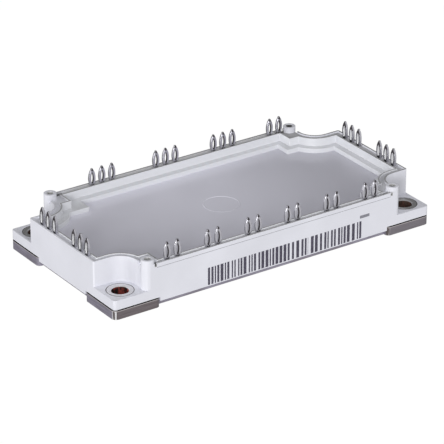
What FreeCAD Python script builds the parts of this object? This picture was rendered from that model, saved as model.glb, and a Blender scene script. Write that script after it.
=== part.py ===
"""Power module with press-fit pins: base plate, moulded frame, tray lid, pins and what they enclose.

Millimetres, +Z up. The origin is the middle of the base plate's underside. The long sides run
along X, and the front is at -Y.
"""

import FreeCAD, Part
import math
import os

V = FreeCAD.Vector

# Base plate
PLATE_LENGTH = 122.0
PLATE_WIDTH = 62.0
PLATE_THICK = 3.0
PLATE_CORNER_R = 1.8
EAR_ALONG_SIDE = 17.0
EAR_ALONG_END = 17.0
EAR_END_R = 1.4
EDGE_STEP = 1.9

# Mounting holes and their bushes, the inset counted from the plate's edges
HOLE_INSET = 6.0
HOLE_D = 5.5
BUSH_D = 9.2

# Moulded frame
FRAME_SETBACK = 0.2
SEAM = 0.3
SKIRT_BOTTOM = 1.95
SKIRT_GAP = 0.1
FLANGE_THICK = 3.2
FLANGE_CORNER_R = 1.0
RECESS_R = 6.0
RECESS_BEVEL = 0.4
RIDGE_TOP = 15.2
RIDGE_HEIGHT = 0.5
RIDGE_THICK = 0.6
GROOVE_DROP = 1.3
GROOVE_HEIGHT = 0.2
GROOVE_DEPTH = 0.15

# Screw posts near the ends of the long sides, the inset counted from the plate's end
POST_INSET = 13.75
POST_D = 4.2
POST_TOP = 16.6
POST_HOLE_D = 2.2
POST_HOLE_DEPTH = 9.0
NOTCH_WIDTH = 0.7
NOTCH_DEPTH = 1.0
NOTCH_REACH = 2.1
POCKET_LENGTH = 3.0
POCKET_DEPTH = 4.0

# Tray lid
LID_SIDE_SHELF = 2.0
LID_END_SHELF = 2.4
LID_RIM_DROP = 0.1
LID_RIM_THICK = 0.7
LID_CLEARANCE = 0.05
LID_WALL_HEIGHT = 2.7
LEDGE_WIDTH = 2.3
LEDGE_THICK = 1.3
LID_STEP_HEIGHT = 1.6
LID_FLOOR_THICK = 1.3
LID_WALL = 1.3
BOX_LENGTH = 4.7
BOX_DEPTH = 5.6
PAD_LENGTH = 3.0

# Frame's inside
SHOULDER = 1.2
STEP_TOP = 6.0
STEP_DEPTH = 2.6
END_RAIL_LENGTH = 30.0
BEAD_INSET = 0.2
BEAD_WIDTH = 1.1
BEAD_R = 5.6

# Press-fit pins
GRID = 3.81
PIN_ROW_SHIFT = -0.5
PIN_ROW_INSET = 17.2
PIN_INSET = 1.45
PIN_THICK = 0.8
PIN_TOP = 20.8
SHANK_WIDTH = 1.2
NECK_HEIGHT = 0.8
EYE_WIDTH = 2.5
BELLY_LENGTH = 1.5
TIP_WIDTH = 0.6
TIP_LENGTH = 1.0
EYE_SLOT_WIDTH = 0.9
EYE_SLOT_MARGIN = 0.4
FOOT_THICK = 0.8
FOOT_REACH = 4.3

# Substrates, their room counted from the lid's edges
SUBSTRATE_END_ROOM = 12.4
SUBSTRATE_SIDE_ROOM = 9.8
SUBSTRATE_GAP = 0.8
SOLDER_THICK = 0.25
FOIL_THICK = 0.3
CERAMIC_THICK = 0.38
FOIL_MARGIN = 0.5
TRACK_GAP = 0.8
STRIP_WIDTH = 3.4

# Chips
IGBT_SIZE = 6.8
DIODE_SIZE = 4.4
RECTIFIER_SIZE = 5.6
CHIP_THICK = 0.2
THERMISTOR_LENGTH = 3.0
THERMISTOR_WIDTH = 1.6
THERMISTOR_HEIGHT = 0.9

# Bonding wires and ribbons
BOND_FOOT = 0.8
WIRE_D = 0.35
WIRE_RISE = 1.2
WIRE_LANDING = 1.0
RIBBON_WIDTH = 1.6
RIBBON_THICK = 0.3
RIBBON_RISE = 1.6

# Pin groups in half steps of the grid: inwards from the row's left end, from its middle, and inwards
# from its right end
FRONT_HALF_STEPS = ((2, 4), (-13, -11, -5, -3, 3, 5, 11, 13), (4, 2))
BACK_HALF_STEPS = ((), (-16, -14, -12, -3, -1, 1, 9, 11, 13), (2, 0))
END_HALF_STEPS = ((), (-7, -5, -3, 3, 5, 7), ())

# The substrates, and the columns of track islands on each
PLACES = ("left", "middle", "right")
COLUMN_COUNTS = (3, 2, 2)

# Levels and places that follow from the sizes above
HOLE_X = PLATE_LENGTH / 2 - HOLE_INSET
HOLE_Y = PLATE_WIDTH / 2 - HOLE_INSET
FRAME_X = PLATE_LENGTH / 2 - FRAME_SETBACK
FRAME_Y = PLATE_WIDTH / 2 - FRAME_SETBACK
FRAME_BOTTOM = PLATE_THICK + SEAM
FLANGE_TOP = FRAME_BOTTOM + FLANGE_THICK
SHELF = RIDGE_TOP - RIDGE_HEIGHT
WALL_X = HOLE_X - RECESS_R
WALL_Y = HOLE_Y - RECESS_R
POST_X = PLATE_LENGTH / 2 - POST_INSET
POST_Y = FRAME_Y - POST_D / 2
POST_BOX_X = WALL_X - RIDGE_THICK - BOX_LENGTH
LID_X = FRAME_X - LID_END_SHELF
LID_Y = FRAME_Y - LID_SIDE_SHELF
LID_TOP = RIDGE_TOP - LID_RIM_DROP
LEDGE = LID_TOP - LID_WALL_HEIGHT
LID_SEAT = LEDGE - LEDGE_THICK
LID_FLOOR = LEDGE - LID_STEP_HEIGHT
LID_BOTTOM = LID_FLOOR - LID_FLOOR_THICK
PIN_ROW_END = PLATE_LENGTH / 2 - PIN_ROW_INSET
PIN_X = FRAME_X - PIN_INSET
PIN_Y = FRAME_Y - PIN_INSET
FOIL_BOTTOM = PLATE_THICK + SOLDER_THICK
CERAMIC_BOTTOM = FOIL_BOTTOM + FOIL_THICK
TRACK_BOTTOM = CERAMIC_BOTTOM + CERAMIC_THICK
TRACK_TOP = TRACK_BOTTOM + FOIL_THICK
CHIP_TOP = TRACK_TOP + CHIP_THICK
FOOT_TOP = STEP_TOP + FOOT_THICK
SUBSTRATE_PITCH = (2 * (LID_X - SUBSTRATE_END_ROOM) + SUBSTRATE_GAP) / len(PLACES)
SUBSTRATE_LENGTH = SUBSTRATE_PITCH - SUBSTRATE_GAP
SUBSTRATE_WIDTH = 2 * (LID_Y - SUBSTRATE_SIDE_ROOM)
SUBSTRATE_X = dict(zip(PLACES, (-SUBSTRATE_PITCH, 0.0, SUBSTRATE_PITCH)))
FOIL_X = SUBSTRATE_PITCH + SUBSTRATE_LENGTH / 2 - FOIL_MARGIN
FOIL_Y = SUBSTRATE_WIDTH / 2 - FOIL_MARGIN
UP = V(0, 0, 1)

# A bevel of this share of a radius touches the round that it stands for
TANGENT_BEVEL = 2 - math.sqrt(2)
# Places closer than this are the same
SAME_PLACE = 0.001
# How far a cutter reaches past what it cuts
CUT_REACH = 1.0


# Basic forms

def box(x0, x1, y0, y1, z0, z1):
    """A block between two opposite corners."""
    return Part.makeBox(x1 - x0, y1 - y0, z1 - z0, V(x0, y0, z0))


def cylinder(x, y, z0, z1, diameter):
    """An upright cylinder."""
    return Part.makeCylinder(diameter / 2, z1 - z0, V(x, y, z0))


def prism(face, z0, z1):
    """A flat face drawn at height zero, raised into a solid between two heights."""
    raised = face.copy()
    raised.translate(V(0, 0, z0))
    return raised.extrude(V(0, 0, z1 - z0))


def rectangle(half_x, half_y):
    """A centred rectangular face."""
    return Part.makePlane(2 * half_x, 2 * half_y, V(-half_x, -half_y, 0))


def fuse(solids):
    """One solid of several, with the seams taken out."""
    solids = list(solids)
    return solids[0].fuse(solids[1:]).removeSplitter()


def four_corners(shape):
    """The shape made for the +X +Y corner, and its mirror images in the other corners."""
    right = [shape, shape.mirror(V(0, 0, 0), V(0, 1, 0))]
    return right + [s.mirror(V(0, 0, 0), V(1, 0, 0)) for s in right]


def uprights_at(solid, x, y):
    """A solid's upright edges at the given distances from the middle, in all four quarters."""
    picked = []
    for edge in solid.Edges:
        ends = [vertex.Point for vertex in edge.Vertexes]
        upright = len(ends) == 2 and (ends[0] - ends[1]).cross(UP).Length < SAME_PLACE
        if upright and abs(abs(ends[0].x) - x) < SAME_PLACE and abs(abs(ends[0].y) - y) < SAME_PLACE:
            picked.append(edge)
    return picked


# Outlines

def cornered_outline(half_x, half_y, radius, bevelled=False):
    """A rectangle with its corners cut away round the mounting holes, rounded or bevelled."""
    wall_x = HOLE_X - radius
    wall_y = HOLE_Y - radius
    cut = box(wall_x, half_x + CUT_REACH, wall_y, half_y + CUT_REACH, -CUT_REACH, CUT_REACH)
    inner_edge = uprights_at(cut, wall_x, wall_y)
    if bevelled:
        cut = cut.makeChamfer(radius * TANGENT_BEVEL, inner_edge)
    else:
        cut = cut.makeFillet(radius, inner_edge)
    return rectangle(half_x, half_y).cut(four_corners(cut))


def inner_outline(inset, bevelled=False):
    """The lid's outline, moved inwards by the inset: clear of the recesses and of the posts."""
    half_x = LID_X - inset
    half_y = LID_Y - inset
    face = cornered_outline(half_x, half_y, RECESS_R + LID_SIDE_SHELF + inset, bevelled)
    post_box = box(POST_BOX_X - inset, half_x + CUT_REACH, LID_Y - BOX_DEPTH - inset, half_y + CUT_REACH,
                   -CUT_REACH, CUT_REACH)
    return face.cut(four_corners(post_box))


def wall_outline(inset):
    """The frame's outline above its flanges, moved inwards by the inset, without the posts."""
    face = cornered_outline(FRAME_X - inset, FRAME_Y - inset, RECESS_R + inset)
    beyond_post = box(POST_X, FRAME_X + CUT_REACH, POST_Y, FRAME_Y + CUT_REACH, -CUT_REACH, CUT_REACH)
    return face.cut(four_corners(beyond_post))


# Base plate

def base_plate():
    """A flat plate whose edge steps back between four ears."""
    half_x = PLATE_LENGTH / 2
    half_y = PLATE_WIDTH / 2
    ear_x = half_x - EAR_ALONG_SIDE
    ear_y = half_y - EAR_ALONG_END
    plate = box(-half_x, half_x, -half_y, half_y, 0, PLATE_THICK)
    for side in (-1, 1):
        inner = side * (half_y - EDGE_STEP)
        outer = side * half_y
        plate = plate.cut(box(-ear_x, ear_x, min(inner, outer), max(inner, outer), 0, PLATE_THICK))
        inner = side * (half_x - EDGE_STEP)
        outer = side * half_x
        plate = plate.cut(box(min(inner, outer), max(inner, outer), -ear_y, ear_y, 0, PLATE_THICK))
    plate = plate.makeFillet(PLATE_CORNER_R, uprights_at(plate, half_x, half_y))
    ear_ends = uprights_at(plate, half_x, ear_y) + uprights_at(plate, ear_x, half_y)
    plate = plate.makeFillet(EAR_END_R, ear_ends)
    return plate.cut(four_corners(cylinder(HOLE_X, HOLE_Y, 0, PLATE_THICK, HOLE_D)))


def mounting_bushes():
    """Four tubes that carry the screws' load past the plastic, flush with the flanges."""
    tube = cylinder(HOLE_X, HOLE_Y, PLATE_THICK, FLANGE_TOP, BUSH_D)
    tube = tube.cut(cylinder(HOLE_X, HOLE_Y, PLATE_THICK, FLANGE_TOP, HOLE_D))
    return Part.makeCompound(four_corners(tube))


def adhesive_bead():
    """A flat bead round the plate that bonds the frame, passing inside the mounting holes."""
    half_x = PLATE_LENGTH / 2 - EDGE_STEP - BEAD_INSET
    half_y = PLATE_WIDTH / 2 - EDGE_STEP - BEAD_INSET
    outer = cornered_outline(half_x, half_y, BEAD_R, bevelled=True)
    inner = cornered_outline(half_x - BEAD_WIDTH, half_y - BEAD_WIDTH, BEAD_R + BEAD_WIDTH, bevelled=True)
    return prism(outer.cut(inner), PLATE_THICK, FRAME_BOTTOM)


# Moulded frame

def flanges():
    """The slab that carries the frame, with its outer corners rounded."""
    slab = box(-FRAME_X, FRAME_X, -FRAME_Y, FRAME_Y, FRAME_BOTTOM, FLANGE_TOP)
    return slab.makeFillet(FLANGE_CORNER_R, uprights_at(slab, FRAME_X, FRAME_Y))


def skirts():
    """The lips that come down over the stepped edge of the plate, between its ears."""
    ear_x = PLATE_LENGTH / 2 - EAR_ALONG_SIDE - SKIRT_GAP
    ear_y = PLATE_WIDTH / 2 - EAR_ALONG_END - SKIRT_GAP
    side_y = PLATE_WIDTH / 2 - EDGE_STEP + SKIRT_GAP
    end_x = PLATE_LENGTH / 2 - EDGE_STEP + SKIRT_GAP
    front = box(-ear_x, ear_x, -FRAME_Y, -side_y, SKIRT_BOTTOM, FRAME_BOTTOM)
    back = box(-ear_x, ear_x, side_y, FRAME_Y, SKIRT_BOTTOM, FRAME_BOTTOM)
    left = box(-FRAME_X, -end_x, -ear_y, ear_y, SKIRT_BOTTOM, FRAME_BOTTOM)
    right = box(end_x, FRAME_X, -ear_y, ear_y, SKIRT_BOTTOM, FRAME_BOTTOM)
    return [front, back, left, right]


def walls():
    """The upright wall above the flanges, with a low ridge along its outer edge."""
    wall = prism(wall_outline(0), FLANGE_TOP, SHELF)
    ridge_face = wall_outline(0).cut(wall_outline(RIDGE_THICK))
    ridge = prism(ridge_face, SHELF, RIDGE_TOP)
    wall = fuse([wall, ridge])
    return wall.makeChamfer(RECESS_BEVEL, uprights_at(wall, FRAME_X, WALL_Y))


def grooves():
    """The fine lines moulded along both long faces, just under the ridge."""
    top = RIDGE_TOP - GROOVE_DROP
    end = POST_X - NOTCH_REACH
    cuts = []
    for side in (-1, 1):
        inner = side * (FRAME_Y - GROOVE_DEPTH)
        outer = side * FRAME_Y
        cuts.append(box(-end, end, min(inner, outer), max(inner, outer), top - GROOVE_HEIGHT, top))
    return cuts


def post():
    """One round screw post, standing in the frame's wall."""
    return cylinder(POST_X, POST_Y, FLANGE_TOP, POST_TOP, POST_D)


def post_hole():
    """The blind hole of a post, for a self-tapping screw."""
    return cylinder(POST_X, POST_Y, POST_TOP - POST_HOLE_DEPTH, POST_TOP, POST_HOLE_D)


def post_notches():
    """The slots that part the ridge from a post, and the pocket beside the post."""
    far_x = POST_X - NOTCH_REACH
    far_y = POST_Y - POST_D / 2 - NOTCH_WIDTH
    notch_bottom = RIDGE_TOP - NOTCH_DEPTH
    ridge_y = FRAME_Y - RIDGE_THICK
    side_notch = box(far_x, far_x + NOTCH_WIDTH, ridge_y, FRAME_Y, notch_bottom, RIDGE_TOP)
    recess_notch = box(WALL_X - RIDGE_THICK, WALL_X, far_y, POST_Y, notch_bottom, RIDGE_TOP)
    pocket = box(far_x - POCKET_LENGTH, POST_X, LID_Y + LID_CLEARANCE, ridge_y, SHELF - POCKET_DEPTH, SHELF)
    return [notch.cut(post()) for notch in (side_notch, recess_notch, pocket)]


def inner_rails():
    """Along each side, a shoulder that carries the lid and a lower step that carries the pins' feet."""
    wall_x = LID_X + LID_CLEARANCE
    wall_y = LID_Y + LID_CLEARANCE
    rails = []
    for reach, top in ((SHOULDER, LID_SEAT), (SHOULDER + STEP_DEPTH, STEP_TOP)):
        side_rail = box(-POST_BOX_X, POST_BOX_X, wall_y - reach, wall_y, FRAME_BOTTOM, top)
        end_rail = box(wall_x - reach, wall_x, -END_RAIL_LENGTH / 2, END_RAIL_LENGTH / 2, FRAME_BOTTOM, top)
        rails.extend([side_rail, side_rail.mirror(V(0, 0, 0), V(0, 1, 0))])
        rails.extend([end_rail, end_rail.mirror(V(0, 0, 0), V(1, 0, 0))])
    return rails


def housing_frame(pins):
    """The moulded frame, with the pins' shapes taken out where they are moulded in."""
    frame = fuse([flanges(), walls()] + skirts() + four_corners(post()))
    well = prism(inner_outline(-LID_CLEARANCE), FRAME_BOTTOM, POST_TOP)
    frame = fuse([frame.cut(well)] + inner_rails())
    cuts = grooves()
    for shape in post_notches() + [post_hole()]:
        cuts.extend(four_corners(shape))
    cuts.extend(four_corners(cylinder(HOLE_X, HOLE_Y, FRAME_BOTTOM, FLANGE_TOP, BUSH_D)))
    return frame.cut(cuts).cut(list(pins))


# Tray lid

def lid():
    """A sunk tray with a rim, a ledge, a second wall and a floor, resting on the frame's shoulder."""
    ledge_inset = LID_RIM_THICK + LEDGE_WIDTH
    upper = prism(inner_outline(0), LID_SEAT, LID_TOP)
    lower = prism(inner_outline(ledge_inset - LID_WALL, bevelled=True), LID_BOTTOM, LID_SEAT)
    well = prism(inner_outline(LID_RIM_THICK), LEDGE, LID_TOP)
    sink = prism(inner_outline(ledge_inset), LID_FLOOR, LEDGE)
    tray = upper.fuse(lower).removeSplitter().cut([well, sink])
    return fuse([tray, corner_pad(ledge_inset)])


def corner_pad(ledge_inset):
    """The ledge runs on for a short way beside the back left post."""
    side_x = POST_BOX_X - ledge_inset
    wall_y = LID_Y - ledge_inset
    return box(-side_x, PAD_LENGTH - side_x, wall_y - BOX_DEPTH, wall_y, LID_FLOOR, LEDGE)


# Press-fit pins

def plate_face(right_side):
    """A face in the pin's own plane, from the points down its right side mirrored to the left."""
    left_side = [(-x, z) for x, z in reversed(right_side) if x > 0]
    points = [V(x, 0, z) for x, z in right_side + left_side]
    return Part.Face(Part.makePolygon(points + points[:1]))


def pin_profile():
    """A pin seen from its broad side: shank, neck, two bowed legs and a slender point."""
    neck = SHANK_WIDTH / 2
    bow = EYE_WIDTH / 2
    bottom = SHELF + NECK_HEIGHT
    middle = (bottom + PIN_TOP - TIP_LENGTH) / 2
    outside = plate_face([
        (TIP_WIDTH / 2, PIN_TOP),
        (neck, PIN_TOP - TIP_LENGTH),
        (bow, middle + BELLY_LENGTH / 2),
        (bow, middle - BELLY_LENGTH / 2),
        (neck, bottom),
        (neck, STEP_TOP),
    ])
    slot = plate_face([
        (0, PIN_TOP - TIP_LENGTH - EYE_SLOT_MARGIN),
        (EYE_SLOT_WIDTH / 2, middle + BELLY_LENGTH / 2),
        (EYE_SLOT_WIDTH / 2, middle - BELLY_LENGTH / 2),
        (0, bottom + EYE_SLOT_MARGIN),
    ])
    return outside.cut(slot)


def pin():
    """One stamped pin at the origin: eye above the shelf, shank in the wall, foot towards +Y."""
    blade = pin_profile()
    blade.translate(V(0, -PIN_THICK / 2, 0))
    blade = blade.extrude(V(0, PIN_THICK, 0))
    foot = box(-SHANK_WIDTH / 2, SHANK_WIDTH / 2, 0, FOOT_REACH, STEP_TOP, FOOT_TOP)
    return fuse([blade, foot])


def placed_pin(x, y, turn):
    """A pin stood in its place, turned so that its foot points inwards."""
    placed = pin()
    placed.rotate(V(0, 0, 0), UP, turn)
    placed.translate(V(x, y, 0))
    return placed


def row_offsets(from_left, from_middle, from_right):
    """The pins' places along a row, from the half steps of its left, middle and right groups."""
    half_step = GRID / 2
    left = [count * half_step - PIN_ROW_END for count in from_left]
    middle = [count * half_step for count in from_middle]
    right = [PIN_ROW_END - count * half_step for count in from_right]
    return left + middle + right


def pin_sides():
    """For each side: its pins' half steps, and a pin's place and turn at an offset along the row."""
    return {
        "front": (FRONT_HALF_STEPS, lambda s: (s + PIN_ROW_SHIFT, -PIN_Y, 0)),
        "back": (BACK_HALF_STEPS, lambda s: (s + PIN_ROW_SHIFT, PIN_Y, 180)),
        "left": (END_HALF_STEPS, lambda s: (-PIN_X, s, -90)),
        "right": (END_HALF_STEPS, lambda s: (PIN_X, s, 90)),
    }


def pin_places(side):
    """Place and turn of each pin of one side."""
    half_steps, place = pin_sides()[side]
    return [place(offset) for offset in row_offsets(*half_steps)]


def pins():
    """Every pin by its name."""
    made = {}
    for side in pin_sides():
        for number, (x, y, turn) in enumerate(pin_places(side), 1):
            made[f"pin_{side}_{number:02d}"] = placed_pin(x, y, turn)
    return made


# Substrates

def substrate_block(x, margin, z0, z1):
    """A flat block over one substrate, set in from its edges by the margin."""
    half_x = SUBSTRATE_LENGTH / 2 - margin
    half_y = SUBSTRATE_WIDTH / 2 - margin
    return box(x - half_x, x + half_x, -half_y, half_y, z0, z1)


def island_grid(place):
    """Centre, length and width of each track island of one substrate: its columns in two rows."""
    count = COLUMN_COUNTS[PLACES.index(place)]
    length = (SUBSTRATE_LENGTH - 2 * FOIL_MARGIN - (count - 1) * TRACK_GAP) / count
    width = FOIL_Y - STRIP_WIDTH - TRACK_GAP - TRACK_GAP / 2
    first = SUBSTRATE_X[place] - (count - 1) * (length + TRACK_GAP) / 2
    for column in range(count):
        for row in (-1, 1):
            yield first + column * (length + TRACK_GAP), row * (width + TRACK_GAP) / 2, length, width


def strip_y():
    """The middle of the bus strip along a substrate's edge."""
    return FOIL_Y - STRIP_WIDTH / 2


def copper_tracks(place):
    """The etched foil of one substrate: a strip along each long side and the islands between."""
    x = SUBSTRATE_X[place]
    half_x = SUBSTRATE_LENGTH / 2 - FOIL_MARGIN
    made = []
    for side in (-1, 1):
        y = side * strip_y()
        made.append(box(x - half_x, x + half_x, y - STRIP_WIDTH / 2, y + STRIP_WIDTH / 2,
                        TRACK_BOTTOM, TRACK_TOP))
    for cx, cy, length, width in island_grid(place):
        made.append(box(cx - length / 2, cx + length / 2, cy - width / 2, cy + width / 2,
                        TRACK_BOTTOM, TRACK_TOP))
    return Part.makeCompound(made)


def chip(x, y, size):
    """A square chip lying on a track."""
    half = size / 2
    return box(x - half, x + half, y - half, y + half, TRACK_TOP, CHIP_TOP)


def switch_places():
    """Where the seven switches stand: on every wide island but the thermistor's."""
    places = [(x, y) for side in ("middle", "right") for x, y, _, _ in island_grid(side)]
    return places[1:]


def switch_centres(x, y):
    """The centres of a switch and its diode, side by side on their island."""
    spread = (IGBT_SIZE + DIODE_SIZE) / 4 + TRACK_GAP / 2
    return (x - spread, y), (x + spread, y)


def igbt_chips():
    """The seven switching chips."""
    return Part.makeCompound([chip(*switch_centres(x, y)[0], IGBT_SIZE) for x, y in switch_places()])


def diode_chips():
    """The seven freewheeling diodes beside them."""
    return Part.makeCompound([chip(*switch_centres(x, y)[1], DIODE_SIZE) for x, y in switch_places()])


def rectifier_chips():
    """The six rectifier diodes of the left substrate."""
    return Part.makeCompound([chip(x, y, RECTIFIER_SIZE) for x, y, _, _ in island_grid("left")])


def thermistor():
    """The small temperature sensor on the first island of the middle substrate."""
    x, y, _, _ = next(island_grid("middle"))
    half_x = THERMISTOR_LENGTH / 2
    half_y = THERMISTOR_WIDTH / 2
    return box(x - half_x, x + half_x, y - half_y, y + half_y, TRACK_TOP, TRACK_TOP + THERMISTOR_HEIGHT)


# Bonding wires and ribbons

def loop(start, end, z0, z1, rise, width, thick):
    """A bonded loop from one place to another: two flat feet and legs that meet in a peak."""
    run = V(end[0] - start[0], end[1] - start[1], 0)
    length = run.Length
    top = max(z0, z1) + rise
    middle = length / 2
    outline = [
        (0, z0), (BOND_FOOT, z0), (middle, top - thick),
        (length - BOND_FOOT, z1), (length, z1), (middle, top),
    ]
    points = [V(along, -width / 2, z) for along, z in outline]
    solid = Part.Face(Part.makePolygon(points + points[:1])).extrude(V(0, width, 0))
    solid.rotate(V(0, 0, 0), UP, math.degrees(math.atan2(run.y, run.x)))
    solid.translate(V(start[0], start[1], 0))
    return solid


def chip_ribbons():
    """A ribbon from each switch to its diode, and from each rectifier diode to the strip beside it."""
    made = []
    for x, y in switch_places():
        switch, diode = switch_centres(x, y)
        made.append(loop(switch, diode, CHIP_TOP, CHIP_TOP, RIBBON_RISE, RIBBON_WIDTH, RIBBON_THICK))
    for x, y, _, _ in island_grid("left"):
        strip = (x, math.copysign(strip_y(), y))
        made.append(loop((x, y), strip, CHIP_TOP, TRACK_TOP, RIBBON_RISE, RIBBON_WIDTH, RIBBON_THICK))
    return Part.makeCompound(made)


def pin_wires():
    """One loop from each pin's foot to the edge of the nearest track."""
    side_reach = PIN_Y - FOIL_Y + WIRE_LANDING
    end_reach = PIN_X - FOIL_X + WIRE_LANDING
    reaches = {"front": side_reach, "back": side_reach, "left": end_reach, "right": end_reach}
    made = []
    for side, reach in reaches.items():
        for x, y, turn in pin_places(side):
            inward = V(-math.sin(math.radians(turn)), math.cos(math.radians(turn)), 0)
            start = V(x, y, 0) + inward * (FOOT_REACH - 2 * BOND_FOOT)
            end = V(x, y, 0) + inward * reach
            made.append(loop(start, end, FOOT_TOP, TRACK_TOP, WIRE_RISE, WIRE_D, WIRE_D))
    return Part.makeCompound(made)


# The whole module

def build():
    """Every sub-part by its name."""
    parts = pins()
    parts["housing_frame"] = housing_frame(list(parts.values()))
    parts["base_plate"] = base_plate()
    parts["mounting_bushes"] = mounting_bushes()
    parts["adhesive_bead"] = adhesive_bead()
    parts["lid"] = lid()
    for place, x in SUBSTRATE_X.items():
        parts[f"base_solder_{place}"] = substrate_block(x, FOIL_MARGIN, PLATE_THICK, FOIL_BOTTOM)
        parts[f"under_copper_{place}"] = substrate_block(x, FOIL_MARGIN, FOIL_BOTTOM, CERAMIC_BOTTOM)
        parts[f"ceramic_tile_{place}"] = substrate_block(x, 0, CERAMIC_BOTTOM, TRACK_BOTTOM)
        parts[f"copper_tracks_{place}"] = copper_tracks(place)
    parts["igbt_chips"] = igbt_chips()
    parts["diode_chips"] = diode_chips()
    parts["rectifier_chips"] = rectifier_chips()
    parts["thermistor"] = thermistor()
    parts["chip_ribbons"] = chip_ribbons()
    parts["pin_wires"] = pin_wires()
    return parts


def export(parts):
    """One file for each sub-part."""
    os.makedirs("parts", exist_ok=True)
    for name, shape in parts.items():
        shape.exportStep(f"parts/{name}.step")


export(build())
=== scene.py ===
"""Power module with press-fit pins: finishes, formed pins, printed bars, fittings and a studio.

It is laid out as an add-on and run as a script. Everything is in metres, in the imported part's
own frame: X runs along the module, -Y is its front and Z is up.
"""

import math
import random

import bmesh
import bpy
from mathutils import Matrix, Vector


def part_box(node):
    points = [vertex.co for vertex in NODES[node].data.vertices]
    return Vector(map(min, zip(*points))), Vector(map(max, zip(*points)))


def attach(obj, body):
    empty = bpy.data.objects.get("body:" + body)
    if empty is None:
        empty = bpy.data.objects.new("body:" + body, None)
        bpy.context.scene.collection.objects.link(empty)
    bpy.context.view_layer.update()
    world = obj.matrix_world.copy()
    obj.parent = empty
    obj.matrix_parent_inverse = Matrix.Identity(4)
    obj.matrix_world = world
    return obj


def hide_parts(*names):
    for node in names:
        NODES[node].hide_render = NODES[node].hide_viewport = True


bl_info = {
    "name": "Power module finishes",
    "version": (1, 0, 0),
    "blender": (4, 5, 0),
    "location": "View3D > Sidebar > Power module",
    "description": "Finishes, pins, print and studio for a power module with press-fit pins",
    "category": "Object",
}

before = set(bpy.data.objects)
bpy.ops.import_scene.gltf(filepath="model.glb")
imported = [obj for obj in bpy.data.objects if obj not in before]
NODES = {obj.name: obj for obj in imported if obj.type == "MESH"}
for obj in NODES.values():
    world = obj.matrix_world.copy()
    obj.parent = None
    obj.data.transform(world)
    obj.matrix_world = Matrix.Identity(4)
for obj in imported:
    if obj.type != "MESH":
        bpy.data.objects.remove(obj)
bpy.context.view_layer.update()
FRAME_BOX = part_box("housing_frame")
BUSH_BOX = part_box("mounting_bushes")
# Y of the frame's long faces
FRONT_FACE = FRAME_BOX[0][1]
BACK_FACE = FRAME_BOX[1][1]
MM = 0.001
# Farther than any part of the module reaches from its middle
BEYOND = 1.0


# Settings

class FinishSettings(bpy.types.PropertyGroup):
    """Colours of the module's visible materials, some of them painted light and shade, and the
    widths of the mouldings' edges.
    """
    frame_colour: bpy.props.FloatVectorProperty(
        name="Frame colour", description="Colour of the moulded frame",
        subtype="COLOR", size=3, min=0, max=1, default=(0.78, 0.785, 0.85))
    lid_colour: bpy.props.FloatVectorProperty(
        name="Lid colour", description="Colour of the tray lid",
        subtype="COLOR", size=3, min=0, max=1, default=(0.735, 0.73, 0.82))
    # Painted light: the lid's walls are lighter than its floor because the key light falls on them
    lit_wall_colour: bpy.props.FloatVectorProperty(
        name="Wall colour", description="Colour of the tray lid's walls and ledge",
        subtype="COLOR", size=3, min=0, max=1, default=(0.83, 0.84, 0.88))
    # Painted shade: the narrow upward tops of the ridge and the lid's rim are greyed because they
    # get little light
    rim_shade_colour: bpy.props.FloatVectorProperty(
        name="Rim colour", description="Colour of the narrow tops of the ridge and the lid's rim",
        subtype="COLOR", size=3, min=0, max=1, default=(0.36, 0.36, 0.37))
    # Painted shade: the depths of the frame's holes, pockets and notches
    shade_colour: bpy.props.FloatVectorProperty(
        name="Shade colour", description="Colour of the depths of the frame's holes and notches",
        subtype="COLOR", size=3, min=0, max=1, default=(0.30, 0.30, 0.30))
    plate_colour: bpy.props.FloatVectorProperty(
        name="Plate colour", description="Colour of the plated base plate",
        subtype="COLOR", size=3, min=0, max=1, default=(0.32, 0.30, 0.37))
    pin_colour: bpy.props.FloatVectorProperty(
        name="Pin colour", description="Colour of the tinned pins",
        subtype="COLOR", size=3, min=0, max=1, default=(0.545, 0.54, 0.585))
    ink_colour: bpy.props.FloatVectorProperty(
        name="Ink colour", description="Colour of the printed bars",
        subtype="COLOR", size=3, min=0, max=1, default=(0.055, 0.050, 0.075))
    faded_colour: bpy.props.FloatVectorProperty(
        name="Faded colour", description="Colour of the printed dash",
        subtype="COLOR", size=3, min=0, max=1, default=(0.23, 0.23, 0.265))
    frame_edge: bpy.props.FloatProperty(
        name="Frame edge", description="Width of the broken edges of the frame",
        unit="LENGTH", default=0.09 * MM)
    lid_edge: bpy.props.FloatProperty(
        name="Lid edge", description="Width of the broken edges of the lid",
        unit="LENGTH", default=0.15 * MM)


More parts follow.
